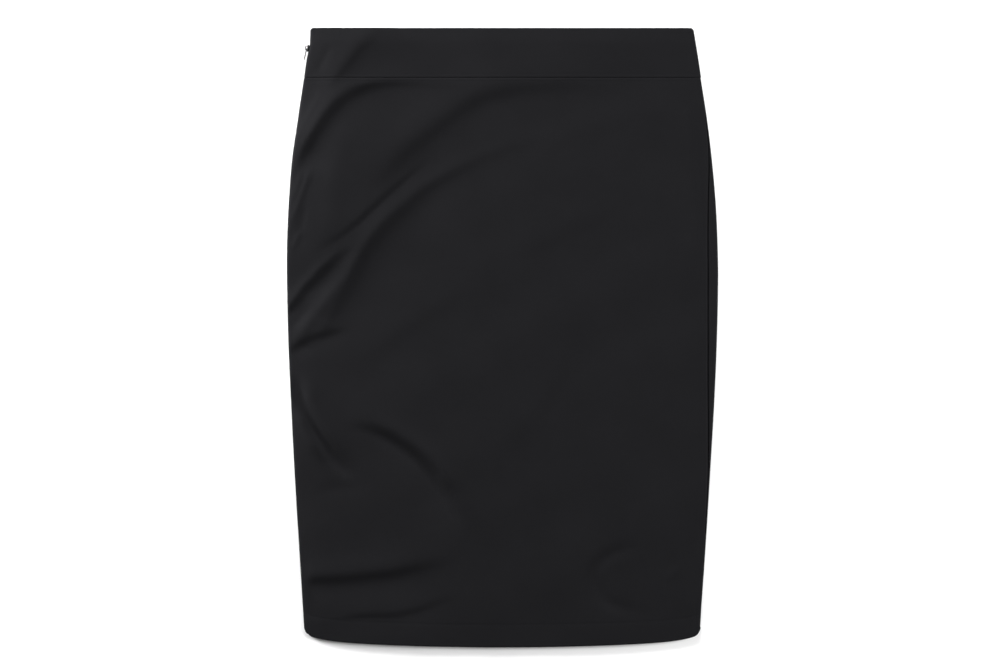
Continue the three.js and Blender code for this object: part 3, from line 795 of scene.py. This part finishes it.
def mesh_object(name, points, face_groups):
    """A smooth mesh from points in millimetres and arrays of faces, each row one face."""
    mesh = bpy.data.meshes.new(name)
    mesh.vertices.add(len(points))
    mesh.vertices.foreach_set("co", (points * MM).ravel())
    loops = np.concatenate([faces.ravel() for faces in face_groups])
    sizes = np.concatenate([np.full(len(faces), faces.shape[1]) for faces in face_groups])
    mesh.loops.add(len(loops))
    mesh.loops.foreach_set("vertex_index", loops)
    mesh.polygons.add(len(sizes))
    mesh.polygons.foreach_set("loop_start", np.concatenate([[0], np.cumsum(sizes)[:-1]]))
    mesh.update(calc_edges=True)
    mesh.shade_smooth()
    made = bpy.data.objects.new(name, mesh)
    bpy.context.scene.collection.objects.link(made)
    return made


TAPE_LOW_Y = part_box("zip_tape_front")[0].y / MM
TAPE_HIGH_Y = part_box("zip_tape_front")[1].y / MM
TAPE_NEAR, TAPE_FAR = 4.0, 15.5  # distances from the left edge
TAPE_WAVE, TAPE_WAVE_LENGTH = 0.05, 9

zip_tape = cloth_material(
    "zip_tape", dark=(0.008, 0.008, 0.009), light=(0.016, 0.016, 0.018),
    size=0.0007, bump=0.6, roughness=0.6, sheen=0.02)


def tape_piece(name, node, low):
    """One tape: a thin strip along the edge, from low up, with a slight wave."""
    y = np.linspace(TAPE_LOW_Y, TAPE_HIGH_Y, 90)[None, :]
    off = np.linspace(TAPE_NEAR, TAPE_FAR, 12)[:, None]
    wave = TAPE_WAVE * np.sin(y / TAPE_WAVE_LENGTH) * (off - TAPE_NEAR) / TAPE_FAR
    middle = edge_middle(-1, y) + wave
    x = left_edge(y) + off
    upper = np.stack([x, y + 0 * off, middle + low + TAPE_THICK + 0 * off], -1)
    lower = np.stack([x, y + 0 * off, middle + low + 0 * off], -1)
    tape = wall_object(name, upper, lower, off + 0 * y, y + 0 * off)
    finish_cloth(tape, zip_tape, node)


tape_piece("tape_front", "zip_tape_front", TAPE_SPACE / 2)
tape_piece("tape_back", "zip_tape_back", -TAPE_SPACE / 2 - TAPE_THICK)

# ---------------------------------------------------------------------------------------------
# Zip coil. Two springs of black nylon thread that mesh with each other and are sewn to the edges
# of the tapes; closed, they run from the zip's end up to the slider.
# ---------------------------------------------------------------------------------------------


def tube_object(name, centres, outward, radius, sides):
    """A round tube along the centre line, closed at both ends. outward is a direction across the
    line at each of its points, from which the sides are counted."""
    along = np.gradient(centres, axis=0)
    along /= np.linalg.norm(along, axis=1, keepdims=True)
    outward = outward - (outward * along).sum(1, keepdims=True) * along
    outward /= np.linalg.norm(outward, axis=1, keepdims=True)
    sideways = np.cross(along, outward)
    turn = np.linspace(0, 2 * np.pi, sides, endpoint=False)
    ring = (np.cos(turn)[None, :, None] * outward[:, None]
            + np.sin(turn)[None, :, None] * sideways[:, None])
    points = (centres[:, None] + radius * ring).reshape(-1, 3)
    ids = np.arange(len(points)).reshape(-1, sides)
    nxt = np.roll(ids, -1, axis=1)
    walls = np.stack([ids[:-1], nxt[:-1], nxt[1:], ids[1:]], -1).reshape(-1, 4)
    return mesh_object(name, points, [walls, ids[:1, ::-1], ids[-1:]])


GLOSS_SPREAD = 0.1
PEEL_RELIEF = 0.00005  # metres


def smooth_material(name, colour, roughness, shine, speckle):
    """Smooth black plastic, enamel or thread: an unevenness of its gloss and a very fine orange
    peel, both from noise of speckle cells to the metre."""
    material = bpy.data.materials.new(name)
    material.use_nodes = True
    nodes, links = material.node_tree.nodes, material.node_tree.links
    shader = nodes["Principled BSDF"]
    place = nodes.new("ShaderNodeTexCoord")
    noise = nodes.new("ShaderNodeTexNoise")
    noise.inputs["Scale"].default_value = speckle
    noise.inputs["Detail"].default_value = 3.0
    links.new(place.outputs["Object"], noise.inputs["Vector"])
    spread = nodes.new("ShaderNodeMapRange")
    spread.inputs["To Min"].default_value = roughness - GLOSS_SPREAD
    spread.inputs["To Max"].default_value = roughness + GLOSS_SPREAD
    links.new(noise.outputs["Fac"], spread.inputs["Value"])
    links.new(spread.outputs["Result"], shader.inputs["Roughness"])
    lift = nodes.new("ShaderNodeBump")
    lift.inputs["Strength"].default_value = 0.15
    lift.inputs["Distance"].default_value = PEEL_RELIEF
    links.new(noise.outputs["Fac"], lift.inputs["Height"])
    links.new(lift.outputs["Normal"], shader.inputs["Normal"])
    shader.inputs["Base Color"].default_value = (*colour, 1)
    shader.inputs["Specular IOR Level"].default_value = shine
    return material


nylon = smooth_material(
    "nylon_coil", colour=(0.008, 0.008, 0.009), roughness=0.45, shine=0.3, speckle=900.0)
COIL_PITCH = 1.25
COIL_THREAD = 0.23  # radius, as in the next line
COIL_HALF_WIDE, COIL_HALF_HIGH = 0.62, 0.65  # of the line that the thread's middle follows
THREAD_SIDES = 6
POINTS_A_TURN = 14
coil_low, coil_high = (c.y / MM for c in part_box("zip_coil"))


def coil_object(name, off, phase):
    """One spring along the edge, off from it: a helix of oval turns, which starts at the phase."""
    turns = (coil_high - coil_low - 2 * COIL_THREAD) / COIL_PITCH
    angle = np.linspace(0, 2 * np.pi * turns, int(POINTS_A_TURN * turns)) + phase
    y = coil_low + COIL_THREAD + (angle - phase) / (2 * np.pi) * COIL_PITCH
    out = np.stack([np.cos(angle), 0 * angle, np.sin(angle)], 1)
    centre = np.stack([left_edge(y) + off, y, edge_middle(-1, y)], 1)
    oval = out * np.array([COIL_HALF_WIDE, 0, COIL_HALF_HIGH])
    return tube_object(name, centre + oval, out, COIL_THREAD, THREAD_SIDES)


for name, off, phase in (("coil_outer", 3.15, 0.0), ("coil_inner", 3.85, np.pi)):
    coil = coil_object(name, off, phase)
    coil.data.materials.append(nylon)
    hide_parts("zip_coil")
    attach(coil, "skirt")

# ---------------------------------------------------------------------------------------------
# Slider and pull. Small parts of black enamelled metal: the slider grips the coil behind the edge,
# with its plate and arch outside, and the pull hangs from the arch down along the edge.
# ---------------------------------------------------------------------------------------------


enamel = smooth_material(
    "black_enamel", colour=(0.007, 0.007, 0.0075), roughness=0.36, shine=0.2, speckle=500.0)
EASE = 0.12  # how far the edges are rounded over
SAME_POINT = 2e-6  # metres
FLAT_ANGLE, SHARP_ANGLE = 0.02, 0.6


def eased_copy(name, node, body):
    """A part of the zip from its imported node, whose faces are joined where they lie in one plane
    and whose sharp edges are rounded over."""
    work = bmesh.new()
    work.from_mesh(bpy.data.objects[node].data)
    bmesh.ops.remove_doubles(work, verts=work.verts, dist=SAME_POINT)
    bmesh.ops.dissolve_limit(work, angle_limit=FLAT_ANGLE, verts=work.verts, edges=work.edges)
    sharp = [edge for edge in work.edges if edge.calc_face_angle(0) > SHARP_ANGLE]
    bmesh.ops.bevel(work, geom=sharp, offset=EASE * MM, segments=2, profile=0.5, affect="EDGES",
                    clamp_overlap=True)
    mesh = bpy.data.meshes.new(name)
    work.to_mesh(mesh)
    work.free()
    mesh.shade_smooth()
    made = bpy.data.objects.new(name, mesh)
    bpy.context.scene.collection.objects.link(made)
    made.data.materials.append(enamel)
    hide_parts(node)
    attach(made, body)


eased_copy("slider", "zip_slider", "skirt")
eased_copy("pull_tab", "zip_pull", "pull")

# ---------------------------------------------------------------------------------------------
# Hem stitches. One black thread that holds the turned-up hem: it runs between the layers and
# comes up through the front as a row of short, shallow stitches.
# ---------------------------------------------------------------------------------------------

STITCH_PITCH, STITCH_DRIFT, DRIFT_LENGTH = 6.5, 0.8, 31
STITCH_THREAD = 0.16  # radius
STITCH_DEEP, STITCH_RISE = 0.52, 0.46  # depth between the layers, and how far a stitch comes up
STITCH_SHOWS = 0.55  # a stitch rises where its wave is above this
HEM_POINTS = 1700
run = np.linspace(QUARTER + 2.5, right_edge(hem_top_y) - left_edge(hem_top_y) - 2 * QUARTER,
                  HEM_POINTS)
catch_line = np.full((1, 1), hem_top_y - CATCH_BELOW)
stitches = lay(1.0, run[:, None], catch_line, 0.0, 0.0)[:, 0]
wave = np.sin(2 * np.pi * run / STITCH_PITCH + STITCH_DRIFT * np.sin(run / DRIFT_LENGTH))
stitches[:, 2] += STITCH_RISE * ramp(STITCH_SHOWS, 1.0, wave) - STITCH_DEEP
upward = np.tile((0.0, 0.0, 1.0), (len(stitches), 1))
thread = tube_object("hem_thread", stitches, upward, STITCH_THREAD, THREAD_SIDES)
thread.data.materials.append(smooth_material(
    "thread", colour=(0.005, 0.005, 0.0055), roughness=0.8, shine=0.07, speckle=700.0))
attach(thread, "skirt")

# ---------------------------------------------------------------------------------------------
# Table, studio light and camera. A plain white table, one large soft light beyond the waist, one
# low on the left and one on the right, and a camera straight above.
# ---------------------------------------------------------------------------------------------

TABLE_HALF = 4.0  # metres
half = TABLE_HALF
table_top = bpy.data.meshes.new("table")
table_top.from_pydata(
    [(-half, -half, 0), (half, -half, 0), (half, half, 0), (-half, half, 0)], [], [(0, 1, 2, 3)])
table = bpy.data.objects.new("table", table_top)
bpy.context.scene.collection.objects.link(table)
white = bpy.data.materials.new("table_white")
white.use_nodes = True
white.node_tree.nodes["Principled BSDF"].inputs["Base Color"].default_value = (0.9, 0.9, 0.9, 1)
white.node_tree.nodes["Principled BSDF"].inputs["Roughness"].default_value = 0.9
table.data.materials.append(white)


def soft_light(name, place, size, power):
    """A square area light at place that faces the middle of the table."""
    data = bpy.data.lights.new(name, "AREA")
    data.size, data.energy = size, power
    made = bpy.data.objects.new(name, data)
    made.location = place
    made.rotation_euler = (np.arctan2(np.hypot(place[0], place[1]), place[2]), 0,
                           np.arctan2(-place[1], -place[0]) - np.pi / 2)
    bpy.context.scene.collection.objects.link(made)


soft_light("top", (-0.25, 2.90, 1.15), 1.1, 90)
soft_light("left", (-1.21, 0.56, 0.27), 0.55, 56)
soft_light("right", (2.13, 0.19, 1.0), 0.9, 84)
world = bpy.data.worlds.new("studio")
world.use_nodes = True
world.node_tree.nodes["Background"].inputs["Strength"].default_value = 0.26
world.node_tree.nodes["Background"].inputs["Color"].default_value = (1, 1, 1, 1)
bpy.context.scene.world = world
bpy.context.scene.view_settings.view_transform = "Standard"

FRAME_WIDE = 1.008  # metres across the view, at the height of the cloth
CLOTH_TOP = 0.004
LENS = 100
AIM = (0.0014, 0.0016)  # the point that the camera is straight above
camera = bpy.data.objects.new("camera", bpy.data.cameras.new("camera"))
camera.data.lens = LENS
camera.location = (*AIM, FRAME_WIDE * LENS / camera.data.sensor_width + CLOTH_TOP)
bpy.context.scene.collection.objects.link(camera)
bpy.context.scene.camera = camera
